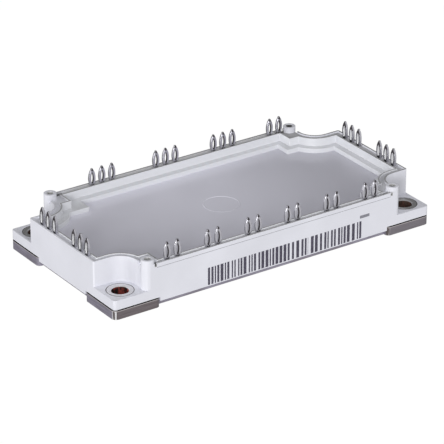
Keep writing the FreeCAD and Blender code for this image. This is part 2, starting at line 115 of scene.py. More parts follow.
class FittingSettings(bpy.types.PropertyGroup):
    """Sizes of the formed pins, the bushes, the ring mark and the grooves."""
    shelf: bpy.props.FloatProperty(
        name="Shelf", description="Height of the shelf that the pins stand on",
        unit="LENGTH", default=14.7 * MM)
    neck: bpy.props.FloatProperty(
        name="Neck", description="Length of a pin's neck above the shelf",
        unit="LENGTH", default=0.8 * MM)
    shank_width: bpy.props.FloatProperty(
        name="Shank width", description="Width of a pin's shank",
        unit="LENGTH", default=1.2 * MM)
    eye_width: bpy.props.FloatProperty(
        name="Eye width", description="Width over a pin's bowed legs",
        unit="LENGTH", default=2.5 * MM)
    leg_width: bpy.props.FloatProperty(
        name="Leg width", description="Width of one bowed leg",
        unit="LENGTH", default=0.8 * MM)
    thickness: bpy.props.FloatProperty(
        name="Thickness", description="Thickness of a pin's sheet",
        unit="LENGTH", default=0.8 * MM)
    tip_width: bpy.props.FloatProperty(
        name="Tip width", description="Width of a pin's end",
        unit="LENGTH", default=0.6 * MM)
    tip_length: bpy.props.FloatProperty(
        name="Tip length", description="Length of a pin's solid tip",
        unit="LENGTH", default=0.8 * MM)
    foot_height: bpy.props.FloatProperty(
        name="Foot height", description="Thickness of a pin's foot",
        unit="LENGTH", default=0.8 * MM)
    lid_floor: bpy.props.FloatProperty(
        name="Lid floor", description="Height of the lid's sunk floor",
        unit="LENGTH", default=10.8 * MM)
    mark_width: bpy.props.FloatProperty(
        name="Mark width", description="Diameter of the ring mark on the lid",
        unit="LENGTH", default=11.8 * MM)
    mark_line: bpy.props.FloatProperty(
        name="Mark line", description="Width of the ring mark's line",
        unit="LENGTH", default=0.4 * MM)
    groove_top: bpy.props.FloatProperty(
        name="Groove top", description="Height of the grooves' upper edges",
        unit="LENGTH", default=13.9 * MM)
    groove_height: bpy.props.FloatProperty(
        name="Groove height", description="Height of a groove",
        unit="LENGTH", default=0.2 * MM)
    groove_reach: bpy.props.FloatProperty(
        name="Groove reach", description="Distance from the middle to a groove's end",
        unit="LENGTH", default=45.1 * MM)
    bush_bore: bpy.props.FloatProperty(
        name="Bush bore", description="Inner diameter of a bush",
        unit="LENGTH", default=5.5 * MM)
    bush_width: bpy.props.FloatProperty(
        name="Bush width", description="Outer diameter of a bush",
        unit="LENGTH", default=9.2 * MM)
    bush_bevel: bpy.props.FloatProperty(
        name="Bush bevel", description="Bevel on a bush's edges",
        unit="LENGTH", default=0.3 * MM)
    bush_groove: bpy.props.FloatProperty(
        name="Bush groove", description="Width of the fine groove round a bush's end",
        unit="LENGTH", default=0.24 * MM)


class PrintSettings(bpy.types.PropertyGroup):
    """Sizes of the printed bars on the front face."""
    bar_bottom: bpy.props.FloatProperty(
        name="Bar bottom", description="Height of the bars' lower ends",
        unit="LENGTH", default=2.3 * MM)
    bar_top: bpy.props.FloatProperty(
        name="Bar top", description="Height of the bars' upper ends",
        unit="LENGTH", default=8.3 * MM)
    ink_thickness: bpy.props.FloatProperty(
        name="Ink thickness", description="How far the ink stands proud",
        unit="LENGTH", default=0.02 * MM)
    seed: bpy.props.IntProperty(
        name="Seed", description="Seed of the bars' random widths", default=7)


class StudioSettings(bpy.types.PropertyGroup):
    """The camera, the lights and the floor."""
    azimuth: bpy.props.FloatProperty(
        name="Azimuth", description="Turn of the camera about the vertical",
        subtype="ANGLE", default=math.radians(-34.338))
    elevation: bpy.props.FloatProperty(
        name="Elevation", description="Height of the camera above the level",
        subtype="ANGLE", default=math.radians(25.767))
    distance: bpy.props.FloatProperty(
        name="Distance", description="Distance from the camera to the module's middle",
        unit="LENGTH", default=0.9579)
    lens: bpy.props.FloatProperty(
        name="Lens", description="Focal length in millimetres for a 36 mm wide sensor",
        default=238.95)
    key_light: bpy.props.FloatProperty(
        name="Key light", description="Power of the low softbox at the front left, in watts",
        default=6.0)
    left_light: bpy.props.FloatProperty(
        name="Left light", description="Power of the softbox behind the left end, in watts",
        default=4.3)
    top_light: bpy.props.FloatProperty(
        name="Top light", description="Power of the overhead softbox, in watts",
        default=0.5)
    front_air: bpy.props.FloatProperty(
        name="Front air", description="Strength of the even light from the front",
        default=0.70)
    back_air: bpy.props.FloatProperty(
        name="Back air", description="Strength of the even light from the back",
        default=0.12)
    floor_gap: bpy.props.FloatProperty(
        name="Floor gap", description="Depth of the floor below the base plate's underside",
        unit="LENGTH", default=0.05 * MM)


def settings(name):
    """One group of settings of the open scene."""
    return getattr(bpy.context.scene, name)


# Node helpers

# How far up a face looks, from not at all a top to fully a top
LOOKS_UP = (0.85, 0.95)
# Width over which the sides of a box in a material fade out
SOFT_SIDE = 0.05 * MM


class Recipe:
    """A material in the making: nodes are added by kind, sockets are set or linked by name."""

    def __init__(self, name):
        self.material = bpy.data.materials.new(name)
        self.material.use_nodes = True
        self.tree = self.material.node_tree
        self.tree.nodes.clear()
        self.shader = self.add("ShaderNodeBsdfPrincipled")
        output = self.add("ShaderNodeOutputMaterial")
        self.tree.links.new(self.shader.outputs[0], output.inputs["Surface"])
        self.place = self.add("ShaderNodeTexCoord").outputs["Object"]

    def put(self, node, socket, value):
        """Links a socket when the value is another node's output, and sets it otherwise."""
        if isinstance(value, bpy.types.NodeSocket):
            self.tree.links.new(value, node.inputs[socket])
        else:
            node.inputs[socket].default_value = value

    def add(self, kind, values=None, **options):
        """A new node with its options and its sockets' values."""
        node = self.tree.nodes.new(kind)
        for option, value in options.items():
            setattr(node, option, value)
        for socket, value in (values or {}).items():
            self.put(node, socket, value)
        return node

    def surface(self, **values):
        """Sets the shader's own sockets, named with underscores for spaces."""
        for socket, value in values.items():
            self.put(self.shader, socket.replace("_", " "), value)

    def noise(self, scale, detail, stretch=None):
        """Noise over the object's own place, stretched along an axis where asked."""
        place = self.place
        if stretch:
            place = self.add("ShaderNodeMapping", {"Vector": place, "Scale": stretch}).outputs[0]
        values = {"Vector": place, "Scale": scale, "Detail": detail}
        return self.add("ShaderNodeTexNoise", values).outputs["Fac"]

    def ramp(self, factor, low, high, from_low=0.0, from_high=1.0):
        """A number that goes from low to high as the factor goes through its range."""
        values = {"Value": factor, "From Min": from_low, "From Max": from_high,
                  "To Min": low, "To Max": high}
        return self.add("ShaderNodeMapRange", values).outputs["Result"]

    def step(self, factor, from_low, from_high):
        """Zero where the factor is below a range, one above it, and a straight line between."""
        return self.ramp(factor, 0.0, 1.0, from_low, from_high)

    def times(self, first, second):
        """The product of two numbers."""
        values = {0: first, 1: second}
        return self.add("ShaderNodeMath", values, operation="MULTIPLY").outputs[0]

    def blend(self, factor, first, second):
        """A colour between two."""
        node = self.add("ShaderNodeMix", data_type="RGBA")
        self.put(node, 0, factor)
        self.put(node, 6, first)
        self.put(node, 7, second)
        return node.outputs[2]

    def between(self, factor, pair):
        """A colour between the two of a pair."""
        return self.blend(factor, rgba(pair[0]), rgba(pair[1]))

    def shades(self, factor, colour, first, second):
        """A colour between two shares of it."""
        return self.blend(factor, rgba(colour, first), rgba(colour, second))

    def bump(self, height, distance, strength):
        """A bumped normal from a height."""
        values = {"Height": height, "Distance": distance, "Strength": strength}
        return self.add("ShaderNodeBump", values).outputs["Normal"]

    def along(self, axis):
        """The place of a point along one axis."""
        return self.add("ShaderNodeSeparateXYZ", {"Vector": self.place}).outputs[axis]

    def across(self):
        """The place of a point along the line from the front left to the back right: X plus Y."""
        values = {0: self.place, 1: (1.0, 1.0, 0.0)}
        return self.add("ShaderNodeVectorMath", values, operation="DOT_PRODUCT").outputs["Value"]

    def distance(self, point):
        """How far a point of the surface is from the given one."""
        values = {0: self.place, 1: point}
        return self.add("ShaderNodeVectorMath", values, operation="DISTANCE").outputs["Value"]

    def normal(self, axis):
        """One part of the direction that a face looks in."""
        normal = self.add("ShaderNodeNewGeometry").outputs["Normal"]
        return self.add("ShaderNodeSeparateXYZ", {"Vector": normal}).outputs[axis]

    def vector_step(self, vector, low, high):
        """A step for each part of a vector."""
        values = {"Vector": vector, 7: low, 8: high}
        return self.add("ShaderNodeMapRange", values, data_type="FLOAT_VECTOR").outputs["Vector"]

    def within(self, low, high):
        """One inside a box that is repeated in all four quarters, and zero outside it."""
        quarter = self.add("ShaderNodeVectorMath", {0: self.place}, operation="ABSOLUTE").outputs[0]
        soft = Vector((SOFT_SIDE, SOFT_SIDE, SOFT_SIDE))
        values = {0: self.vector_step(quarter, Vector(low) - soft, low),
                  1: self.vector_step(quarter, high, Vector(high) + soft)}
        inside = self.add("ShaderNodeVectorMath", values, operation="SUBTRACT").outputs[0]
        parts = self.add("ShaderNodeSeparateXYZ", {"Vector": inside}).outputs
        return self.times(self.times(parts["X"], parts["Y"]), parts["Z"])

    def level_top(self, low, high):
        """One on faces that look up between two heights, and zero elsewhere."""
        upward = self.step(self.normal("Z"), *LOOKS_UP)
        return self.times(upward, self.within((-BEYOND, -BEYOND, low), (BEYOND, BEYOND, high)))


def rgba(colour, share=1.0):
    """A colour with its alpha, lightened or darkened by a share."""
    return tuple(min(1.0, c * share) for c in colour) + (1.0,)


# Finishes. Each is preceded by the places where it changes, as boxes in one quarter of the module
# or as ranges of X, Y, height or X plus Y, and by its fixed colours, alone or as the two of a pair.

# Heights of the shelf's and the ridge's upward tops, painted grey as shade, and the box of the band
# round the ridge's inner side, which is also painted as shade
SHELF_LEVEL = (14.5 * MM, 14.8 * MM)
RIDGE_LEVEL = (15.1 * MM, 15.3 * MM)
RIDGE_SIDE = ((-BEYOND, 28.8 * MM, 14.6 * MM), (BEYOND, 30.5 * MM, 15.3 * MM))
# Ranges of Y and X over which the painted shade on the tops grows towards the back and fades out
# towards the left end, where the left light falls
FRONT_TO_BACK = (-30.0 * MM, 28.0 * MM)
PAST_LEFT_END = (-46.0 * MM, -36.0 * MM)
# Boxes round the pocket and the notch beside a post, painted with shade, and how light the shade is
# in each
SHADED = (
    ((42.1 * MM, 28.82 * MM, 10.0 * MM), (47.3 * MM, 30.25 * MM, 14.55 * MM), 0.9),
    ((45.1 * MM, 30.25 * MM, 14.1 * MM), (45.9 * MM, 30.9 * MM, 15.05 * MM), 1.4),
)
# Box round a post's hole, painted dark as shade, and the range of X plus Y over which that shade
# deepens at the farther posts
POST_HOLE = ((46.0 * MM, 27.5 * MM, 7.0 * MM), (48.5 * MM, 29.9 * MM, 16.5 * MM))
FAR_POST = (20.0 * MM, 70.0 * MM)


def moulded_white():
    """Spark-textured white plastic that drifts a little in tone, with painted shade: grey tops and
    dark holes.
    """
    finish = settings("module_finish")
    r = Recipe("moulded_white")
    drift = r.noise(scale=60.0, detail=3.0)
    tone = r.shades(r.step(drift, 0.35, 0.65), finish.frame_colour, 0.96, 1.03)
    back = r.ramp(r.along("Y"), 0.3, 1.0, *FRONT_TO_BACK)
    right = r.ramp(r.along("X"), 0.1, 1.0, *PAST_LEFT_END)
    # Painted shade: grey shelf and ridge tops and a grey band round the ridge's inner side
    shelf = r.times(r.times(r.level_top(*SHELF_LEVEL), back), right)
    tone = r.blend(shelf, tone, rgba(finish.rim_shade_colour, 1.1))
    ridge_side_shade = r.times(r.within(*RIDGE_SIDE), r.times(back, right))
    tone = r.blend(ridge_side_shade, tone, rgba(finish.rim_shade_colour, 1.6))
    ridge = r.times(r.level_top(*RIDGE_LEVEL), right)
    tone = r.blend(ridge, tone, r.shades(back, finish.rim_shade_colour, 1.4, 0.8))
    # Painted shade in the pockets, the notches and the posts' holes
    for low, high, share in SHADED:
        tone = r.blend(r.within(low, high), tone, rgba(finish.shade_colour, share))
    post_hole_shade = r.shades(r.step(r.across(), *FAR_POST), finish.shade_colour, 1.8, 0.3)
    tone = r.blend(r.within(*POST_HOLE), tone, post_hole_shade)
    grain = r.noise(scale=5200.0, detail=2.0)
    r.surface(Base_Color=tone, Roughness=r.ramp(drift, 0.42, 0.52), IOR=1.5,
              Normal=r.bump(grain, distance=0.03 * MM, strength=0.35))
    return r.material


# The middle of a paler patch on the lid's floor, and how far from it the patch fades
PALE_POINT = (-2.0 * MM, 12.0 * MM, 10.8 * MM)
PALE_POINT_FADE = (10.0 * MM, 42.0 * MM)
# Range of X over which the floor darkens towards the right, the height above which the lid takes
# the lit wall colour, and the heights of the ledge's and the rim's tops, which take painted shade
LEFT_TO_RIGHT = (-10.0 * MM, 45.0 * MM)
WALL_FOOT = (10.82 * MM, 11.0 * MM)
LEDGE_LEVEL = (12.2 * MM, 12.6 * MM)
RIM_LEVEL = (15.0 * MM, 15.3 * MM)


def smooth_lid():
    """Glossier plastic with faint flow marks, darker towards the right and paler round a point near
    the middle; painted shade makes the floor greyer than the lit walls.
    """
    finish = settings("module_finish")
    r = Recipe("smooth_lid")
    drift = r.noise(scale=22.0, detail=3.0)
    tone = r.shades(r.step(drift, 0.35, 0.65), finish.lid_colour, 0.94, 1.05)
    tone = r.blend(r.step(r.along("X"), *LEFT_TO_RIGHT), tone, rgba(finish.lid_colour, 0.83))
    near_pale_point = r.ramp(r.distance(PALE_POINT), 0.9, 0.0, *PALE_POINT_FADE)
    tone = r.blend(near_pale_point, tone, rgba(finish.lid_colour, 1.11))
    # Painted light and shade: the walls take the lit wall colour, the ledge's top a darker share of
    # it, and the rim's top the rim shade
    tone = r.blend(r.step(r.along("Z"), *WALL_FOOT), tone, rgba(finish.lit_wall_colour))
    tone = r.blend(r.level_top(*LEDGE_LEVEL), tone, rgba(finish.lit_wall_colour, 0.88))
    tone = r.blend(r.level_top(*RIM_LEVEL), tone, rgba(finish.rim_shade_colour, 1.2))
    grain = r.noise(scale=3600.0, detail=2.0)
    r.surface(Base_Color=tone, Roughness=r.ramp(drift, 0.14, 0.26), IOR=1.5,
              Normal=r.bump(grain, distance=0.02 * MM, strength=0.2))
    return r.material


# How squarely a face looks to the front, and where the front side ends
LOOKS_FRONT = (-0.9, -0.6)
FRONT_SIDE = (-30.5 * MM, -30.0 * MM)
EAR_TO_EAR = (-30.0 * MM, 30.0 * MM)
# The product of a face's X and Y directions when it looks to the front left, at the front ears'
# corners, and where those corners end
LOOKS_FRONT_LEFT = (0.15, 0.35)
FRONT_CORNERS = (-29.6 * MM, -29.2 * MM)
# Heights of the painted highlight along the plate's top edge, where its chamfer would catch the
# light, and of the painted shade in the gap just under the frame
TOP_EDGE_HIGHLIGHT_HEIGHT = (2.6 * MM, 2.9 * MM)
FRAME_GAP_SHADE_HEIGHT = (2.96 * MM, 2.99 * MM)
UNDERSIDE_HEIGHT = (0.02 * MM, 0.06 * MM)
STAIN = (0.11, 0.07, 0.06)
LEFT_SAWN = ((0.09, 0.070, 0.066), (0.20, 0.17, 0.17))
RIGHT_SAWN = ((0.14, 0.125, 0.135), (0.26, 0.24, 0.26))
CORNER_GLINTS = ((0.12, 0.10, 0.10), (0.70, 0.70, 0.72))
# Colours of the painted top-edge highlight and of the painted shade under the frame
TOP_EDGE_HIGHLIGHT = (0.62, 0.58, 0.58)
FRAME_GAP_SHADE = (0.03, 0.028, 0.028)
UNDERSIDE = (0.60, 0.58, 0.56)


def plated_plate():
    """Nickel plate on copper: dark sawn edges, a painted highlight along the top edge, painted
    shade just under the frame, a bright underside.
    """
    finish = settings("module_finish")
    r = Recipe("plated_plate")
    streaks = r.noise(scale=900.0, detail=3.0, stretch=(0.15, 0.15, 3.0))
    stain = r.noise(scale=90.0, detail=4.0)
    tone = r.shades(r.step(streaks, 0.3, 0.7), finish.plate_colour, 0.75, 1.25)
    tone = r.blend(r.ramp(stain, 0.0, 0.35, 0.5, 0.75), tone, rgba(STAIN))
    front = r.times(r.ramp(r.normal("Y"), 0.85, 0.0, *LOOKS_FRONT),
                    r.ramp(r.along("Y"), 1.0, 0.0, *FRONT_SIDE))
    right = r.step(r.along("X"), *EAR_TO_EAR)
    sawn = r.blend(right, r.between(streaks, LEFT_SAWN), r.between(streaks, RIGHT_SAWN))
    tone = r.blend(front, tone, sawn)
    corner = r.times(r.step(r.times(r.normal("X"), r.normal("Y")), *LOOKS_FRONT_LEFT),
                     r.ramp(r.along("Y"), 1.0, 0.0, *FRONT_CORNERS))
    glints = r.step(r.noise(scale=1300.0, detail=1.0, stretch=(1.0, 1.0, 0.05)), 0.47, 0.53)
    tone = r.blend(corner, tone, r.between(glints, CORNER_GLINTS))
    # Painted highlight along the top edge and painted shade just under the frame
    tone = r.blend(r.ramp(r.along("Z"), 0.0, 0.8, *TOP_EDGE_HIGHLIGHT_HEIGHT), tone, rgba(TOP_EDGE_HIGHLIGHT))
    tone = r.blend(r.step(r.along("Z"), *FRAME_GAP_SHADE_HEIGHT), tone, rgba(FRAME_GAP_SHADE))
    tone = r.blend(r.ramp(r.along("Z"), 1.0, 0.0, *UNDERSIDE_HEIGHT), tone, rgba(UNDERSIDE))
    r.surface(Base_Color=tone, Metallic=0.45, Roughness=r.ramp(streaks, 0.34, 0.5),
              Normal=r.bump(streaks, distance=0.04 * MM, strength=0.4))
    return r.material


STEEL = ((0.60, 0.59, 0.60), (0.86, 0.85, 0.86))
# The steel painted darker as shade on the bushes that the key light doesn't reach, and the range of
# X plus Y past the front-left bush over which it darkens
SHADED_STEEL = (0.20, 0.20, 0.19)
PAST_FIRST_BUSH = (-70.0 * MM, -45.0 * MM)


def bright_steel():
    """Turned steel of the bushes, painted darker as shade behind the one at the front left, which
    the key light reaches.
    """
    r = Recipe("bright_steel")
    marks = r.noise(scale=2600.0, detail=2.0)
    painted_dark = r.ramp(r.across(), 0.0, 0.6, *PAST_FIRST_BUSH)
    tone = r.blend(painted_dark, r.between(marks, STEEL), rgba(SHADED_STEEL))
    r.surface(Base_Color=tone, Metallic=0.6, Roughness=r.ramp(marks, 0.25, 0.42),
              Normal=r.bump(marks, distance=0.02 * MM, strength=0.3))
    return r.material


# Range of X plus Y past the front-left bore, the bores' dark tones from the front left to the
# others, and the painted red highlight
PAST_FIRST_BORE = (-60.0 * MM, -45.0 * MM)
DARK_BORE = ((0.020, 0.014, 0.013), (0.13, 0.085, 0.065))
RED_HIGHLIGHT = (0.42, 0.08, 0.06)


def bore_with_highlights():
    """The copper-brown inside of a bush, with painted red highlights that are strongest at the
    front left, where the key light falls.
    """
    r = Recipe("bore_with_highlights")
    marks = r.noise(scale=700.0, detail=4.0, stretch=(1.0, 1.0, 0.5))
    far = r.step(r.across(), *PAST_FIRST_BORE)
    red_highlights = r.times(r.step(marks, 0.45, 0.60), r.ramp(far, 1.0, 0.15))
    tone = r.blend(red_highlights, r.between(far, DARK_BORE), rgba(RED_HIGHLIGHT))
    r.surface(Base_Color=tone, Metallic=0.5, Roughness=r.ramp(marks, 0.35, 0.6),
              Normal=r.bump(marks, distance=0.03 * MM, strength=0.4))
    return r.material


DARK_GAP = ((0.06, 0.06, 0.065), (0.16, 0.16, 0.17))


def dark_gap():
    """The shadowed gap round a pressed-in metal part."""
    r = Recipe("dark_gap")
    grime = r.noise(scale=900.0, detail=3.0)
    r.surface(Base_Color=r.between(grime, DARK_GAP), Roughness=r.ramp(grime, 0.6, 0.8))
    return r.material


# Box of the end pins, whose faces that look along the module take the painted dark reflections in
# full
END_PINS = ((53.0 * MM, -BEYOND, -BEYOND), (BEYOND, BEYOND, BEYOND))
# The square of a face's X direction, from looking across the module to looking along it
LOOKS_ALONG = (0.15, 0.75)


def tinned_pin():
    """Tin plate with fine marks, painted darker as dark reflections where it looks along the
    module, most so at its ends.
    """
    finish = settings("module_finish")
    r = Recipe("tinned_pin")
    marks = r.noise(scale=2400.0, detail=3.0)
    bright = r.shades(marks, finish.pin_colour, 0.9, 1.3)
    painted_dark = r.shades(marks, finish.pin_colour, 0.35, 0.65)
    dark_reflection_share = r.step(r.times(r.normal("X"), r.normal("X")), *LOOKS_ALONG)
    dark_reflection_share = r.times(dark_reflection_share, r.ramp(r.within(*END_PINS), 0.45, 1.0))
    r.surface(Base_Color=r.blend(dark_reflection_share, bright, painted_dark), Metallic=0.85,
              Roughness=r.ramp(marks, 0.28, 0.45),
              Normal=r.bump(marks, distance=0.02 * MM, strength=0.3))
    return r.material


# Tones of the painted highlight in the end pins' slots
SLOT_HIGHLIGHT_TONES = ((0.78, 0.78, 0.80), (0.95, 0.95, 0.96))


def slot_highlight():
    """The painted highlight on the edge inside the end pins' eyes, where it catches the light."""
    r = Recipe("slot_highlight")
    marks = r.noise(scale=2600.0, detail=2.0)
    r.surface(Base_Color=r.between(marks, SLOT_HIGHLIGHT_TONES), Metallic=0.3,
              Roughness=r.ramp(marks, 0.3, 0.45),
              Normal=r.bump(marks, distance=0.02 * MM, strength=0.3))
    return r.material


# Near-black tones of the painted dark reflections on the pins
DARK_REFLECTION_TONES = ((0.02, 0.018, 0.02), (0.10, 0.09, 0.10))


def punched_edge():
    """Painted dark reflections on the pins' tips and on the inner flanks of their slots."""
    r = Recipe("punched_edge")
    marks = r.noise(scale=3000.0, detail=3.0, stretch=(1.0, 1.0, 0.3))
    r.surface(Base_Color=r.between(marks, DARK_REFLECTION_TONES), Roughness=r.ramp(marks, 0.5, 0.7),
              Specular_IOR_Level=0.15, Normal=r.bump(marks, distance=0.02 * MM, strength=0.4))
    return r.material


def groove_shade():
    """Plastic in the half shadow of a fine groove."""
    finish = settings("module_finish")
    r = Recipe("groove_shade")
    grime = r.noise(scale=300.0, detail=3.0)
    r.surface(Base_Color=r.shades(grime, finish.frame_colour, 0.35, 0.6),
              Roughness=r.ramp(grime, 0.5, 0.7))
    return r.material


RING_BACK = (-5.0 * MM, 4.0 * MM)


def ring_mark():
    """Polished plastic of the ring mark, paler towards the back."""
    finish = settings("module_finish")
    r = Recipe("ring_mark")
    wear = r.noise(scale=110.0, detail=3.0)
    pale = r.shades(r.step(wear, 0.40, 0.65), finish.lid_colour, 1.17, 1.25)
    tone = r.blend(r.step(r.along("Y"), *RING_BACK), rgba(finish.lid_colour, 0.92), pale)
    r.surface(Base_Color=tone, Roughness=r.ramp(wear, 0.2, 0.3))
    return r.material


def printed_ink(name, colour, worn):
    """Slightly uneven ink, up to a number of times paler where it's worn."""
    r = Recipe(name)
    wear = r.noise(scale=1500.0, detail=4.0)
    tone = r.shades(r.ramp(wear, 0.0, 0.5, 0.4, 0.8), colour, 1.0, worn)
    r.surface(Base_Color=tone, Roughness=r.ramp(wear, 0.5, 0.7))
    return r.material


# How far the roughness of an inner material goes to either side, and the depth of its grain
INNER_UNEVEN = 0.08
INNER_GRAIN = 0.01 * MM


def inner_metal(name, colour, roughness):
    """A plain metal of the inside, with a fine grain."""
    r = Recipe(name)
    grain = r.noise(scale=1800.0, detail=3.0)
    r.surface(Base_Color=r.shades(grain, colour, 0.8, 1.15), Metallic=1.0,
              Roughness=r.ramp(grain, roughness - INNER_UNEVEN, roughness + INNER_UNEVEN),
              Normal=r.bump(grain, INNER_GRAIN, strength=0.3))
    return r.material


def inner_solid(name, colour, roughness):
    """A fired, sawn or cured material of the inside."""
    r = Recipe(name)
    grain = r.noise(scale=1400.0, detail=4.0)
    r.surface(Base_Color=r.shades(grain, colour, 0.85, 1.1),
              Roughness=r.ramp(grain, roughness - INNER_UNEVEN, roughness + INNER_UNEVEN),
              Normal=r.bump(grain, INNER_GRAIN, strength=0.3))
    return r.material


def coat(names, material):
    """Gives CAD nodes their finish."""
    for name in names:
        slots = NODES[name].data.materials
        slots.clear()
        slots.append(material)


# Piece helpers

# Larger faces are shaded flat, so that the broken edges beside them don't bend the light on them
FLAT_AREA = 50 * MM ** 2
# Distance below which two corners of a CAD node are one, and turn below which two faces are level
SAME_CORNER = 0.001 * MM
LEVEL_TURN = math.radians(0.5)
# Turn above which an edge of a moulding is broken
BROKEN_TURN = math.radians(40)
# Turns above which an edge stays sharp in the shading
MOULDED_TURN = math.radians(35)
PUNCHED_TURN = math.radians(40)
TURNED_TURN = math.radians(30)


def piece_from(mesh, name, materials, smooth_angle=None):
    """A finished piece of a bmesh, riding on the module."""
    bmesh.ops.recalc_face_normals(mesh, faces=mesh.faces[:])
    data = bpy.data.meshes.new(name)
    mesh.to_mesh(data)
    mesh.free()
    for material in materials:
        data.materials.append(material)
    piece = bpy.data.objects.new(name, data)
    bpy.context.scene.collection.objects.link(piece)
    if smooth_angle:
        data.set_sharp_from_angle(angle=smooth_angle)
        for polygon in data.polygons:
            polygon.use_smooth = polygon.area < FLAT_AREA
    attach(piece, "root")
    return piece


def soften(node, width, material):
    """A copy of a CAD node with its level faces joined and its edges broken, in its place."""
    mesh = bmesh.new()
    mesh.from_mesh(NODES[node].data)
    bmesh.ops.remove_doubles(mesh, verts=mesh.verts[:], dist=SAME_CORNER)
    bmesh.ops.dissolve_limit(mesh, angle_limit=LEVEL_TURN, verts=mesh.verts[:],
                             edges=mesh.edges[:])
    sharp = [edge for edge in mesh.edges
             if edge.is_manifold and edge.calc_face_angle() > BROKEN_TURN]
    bmesh.ops.bevel(mesh, geom=sharp, affect="EDGES", offset=width, segments=2, profile=0.5,
                    clamp_overlap=True, material=-1)
    piece = piece_from(mesh, f"soft_{node}", [material], MOULDED_TURN)
    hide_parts(node)


def add_block(mesh, low, high):
    """A block between two corners."""
    low = Vector(low)
    high = Vector(high)
    made = bmesh.ops.create_cube(mesh, size=1.0)["verts"]
    bmesh.ops.scale(mesh, vec=high - low, verts=made)
    bmesh.ops.translate(mesh, vec=(low + high) / 2, verts=made)
    return made


def bevel_edges(mesh, verts, width):
    """Bevels every edge that meets the given corners."""
    edges = {edge for vert in verts for edge in vert.link_edges}
    bmesh.ops.bevel(mesh, geom=list(edges), affect="EDGES", offset=width, segments=1,
                    profile=0.5, material=-1)


def revolve(mesh, profile, centre, steps):
    """A solid ring: a closed profile of radius and height, turned about an upright axis."""
    x, y = centre
    verts = [mesh.verts.new((x + radius, y, z)) for radius, z in profile]
    edges = [mesh.edges.new(pair) for pair in zip(verts, verts[1:] + verts[:1])]
    bmesh.ops.spin(mesh, geom=verts + edges, cent=(x, y, 0), axis=(0, 0, 1),
                   angle=2 * math.pi, steps=steps, use_merge=True)


# Operators

class MODULE_OT_finish_plastics(bpy.types.Operator):
    """Give the frame and the lid their moulded plastics"""
    bl_idname = "module.finish_plastics"
    bl_label = "Finish plastics"

    def execute(self, context):
        finish = settings("module_finish")
        soften("housing_frame", finish.frame_edge, moulded_white())
        soften("lid", finish.lid_edge, smooth_lid())
        return {"FINISHED"}


class MODULE_OT_finish_metals(bpy.types.Operator):
    """Give the base plate its plated metal"""
    bl_idname = "module.finish_metals"
    bl_label = "Finish metals"

    def execute(self, context):
        coat(["base_plate"], plated_plate())
        return {"FINISHED"}


PIN_NODES = sorted(name for name in NODES if name.startswith("pin_") and name != "pin_wires")
# For each side, the turn that points a pin's foot inwards
PIN_TURNS = {"front": 0.0, "back": math.pi, "left": -math.pi / 2, "right": math.pi / 2}
LONG_SIDES = ("front", "back")
# The pins' second and third material index: painted dark reflections and a painted slot highlight
DARK_REFLECTION_INDEX = 1
SLOT_HIGHLIGHT_INDEX = 2
# How squarely a face looks along a pin's thickness to be one of its flat sides
LOOKS_THROUGH = 0.6
# Shares of the thickness: left at the tip's end, broken off the blocks and off the legs
TIP_THICKNESS = 0.8
BLOCK_CORNER = 0.1
LEG_CORNER = 0.12
LEG_STEPS = 10
# Where a slot's painted dark reflection starts, as a share of half the leg's length from its middle
DARK_START = -0.8


class MODULE_OT_form_pins(bpy.types.Operator):
    """Form every press-fit pin with bowed legs, a tapered tip, and painted dark reflections and
    highlights
    """
    bl_idname = "module.form_pins"
    bl_label = "Form pins"

    def execute(self, context):
        sizes = settings("module_fitting")
        materials = [tinned_pin(), punched_edge(), slot_highlight()]
        for node in PIN_NODES:
            side = node.split("_")[1]
            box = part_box(node)
            mesh = bmesh.new()
            form_pin(mesh, box, sizes, side in LONG_SIDES)
            place_pin(mesh, box, sizes, PIN_TURNS[side])
            piece = piece_from(mesh, f"formed_{node}", materials, PUNCHED_TURN)
            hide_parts(node)
        return {"FINISHED"}


def form_pin(mesh, box, sizes, dark_slot):
    """A pin at the origin: shank, foot, tip, and two legs bowed between the shelf and the tip."""
    bottom = box[0][2]
    top = box[1][2]
    half_thick = sizes.thickness / 2
    half_shank = sizes.shank_width / 2
    tip_bottom = top - sizes.tip_length
    tip_root = tip_bottom - sizes.tip_length
    reach = max(box[1][0] - box[0][0], box[1][1] - box[0][1]) - half_thick
    corner = BLOCK_CORNER * sizes.thickness
    shank = add_block(mesh, (-half_shank, -half_thick, bottom),
                      (half_shank, half_thick, sizes.shelf + sizes.neck))
    bevel_edges(mesh, shank, corner)
    foot = add_block(mesh, (-half_shank, 0, bottom),
                     (half_shank, reach, bottom + sizes.foot_height))
    bevel_edges(mesh, foot, corner)
    tip = add_block(mesh, (-half_shank, -half_thick, tip_root), (half_shank, half_thick, top))
    upper = [vert for vert in tip if vert.co.z > tip_bottom]
    bmesh.ops.scale(mesh, vec=(sizes.tip_width / sizes.shank_width, TIP_THICKNESS, 1.0),
                    verts=upper)
    bevel_edges(mesh, tip, corner)
    mark_tip(mesh, tip_root)
    for side in (-1, 1):
        bow_leg(mesh, side, sizes.shelf, tip_bottom, sizes, dark_slot)


def mark_tip(mesh, above):
    """Paints dark reflections on a pin's flat sides above a height."""
    mesh.normal_update()
    for face in mesh.faces:
        if abs(face.normal.y) > LOOKS_THROUGH and face.calc_center_median().z > above:
            face.material_index = DARK_REFLECTION_INDEX


